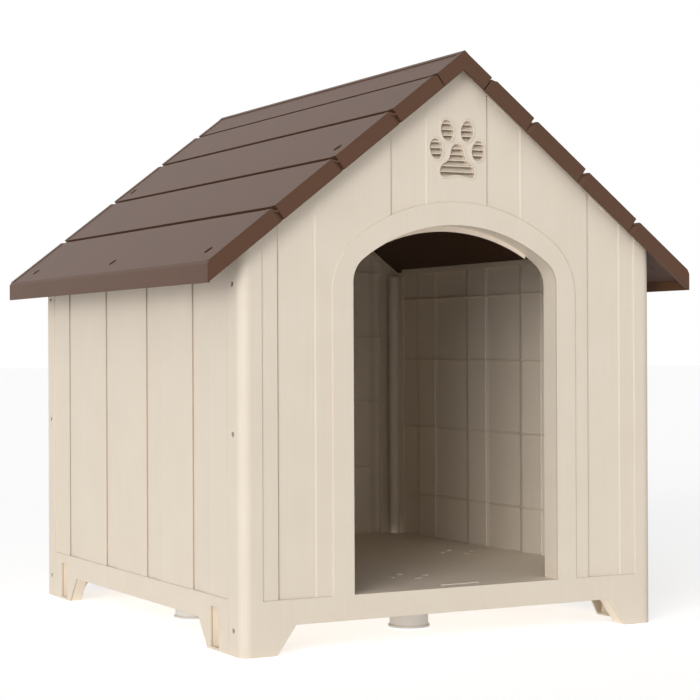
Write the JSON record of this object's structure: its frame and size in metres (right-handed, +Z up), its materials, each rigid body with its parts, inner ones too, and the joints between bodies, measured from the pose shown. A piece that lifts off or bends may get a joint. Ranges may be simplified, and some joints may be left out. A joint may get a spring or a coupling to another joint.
{
  "type": "dog house",
  "caption": "Moulded plastic dog house with plank-pattern walls, an arched doorway, a paw-shaped vent and a stepped gable roof with a ridge cap.",
  "frame": {"origin": "centre of the footprint, on the ground under the legs", "axes": "+X to the right seen from the front, +Y from the doorway to the rear wall, +Z up"},
  "size_m": [0.772, 0.805, 0.81],
  "materials": {
    "wall_plastic": "light beige, matt with a faint wood grain",
    "roof_plastic": "dark brown, matt with a fine wood grain",
    "liner_plastic": "dark brown, smooth and matt",
    "foot_plastic": "light grey, smooth and matt",
    "screw_steel": "dark zinc plating"
  },
  "bodies": {
    "root": {"front_panel": "wall_plastic", "rear_panel": "wall_plastic", "left_side_panel": "wall_plastic", "right_side_panel": "wall_plastic", "floor_panel": "wall_plastic", "paw_vent_louvres": "wall_plastic", "roof_panel_left": "roof_plastic", "roof_panel_right": "roof_plastic", "roof_liner_left": "liner_plastic", "roof_liner_right": "liner_plastic", "ridge_cap": "roof_plastic", "support_foot_front": "foot_plastic", "support_foot_rear": "foot_plastic", "support_foot_centre": "foot_plastic", "support_foot_left": "foot_plastic", "support_foot_right": "foot_plastic", "corner_screws_front_left": "screw_steel", "corner_screws_front_right": "screw_steel", "corner_screws_rear_left": "screw_steel", "corner_screws_rear_right": "screw_steel", "eave_screws_left": "screw_steel", "eave_screws_right": "screw_steel", "gable_screws_left": "screw_steel", "gable_screws_right": "screw_steel"}
  },
  "joints": []
}
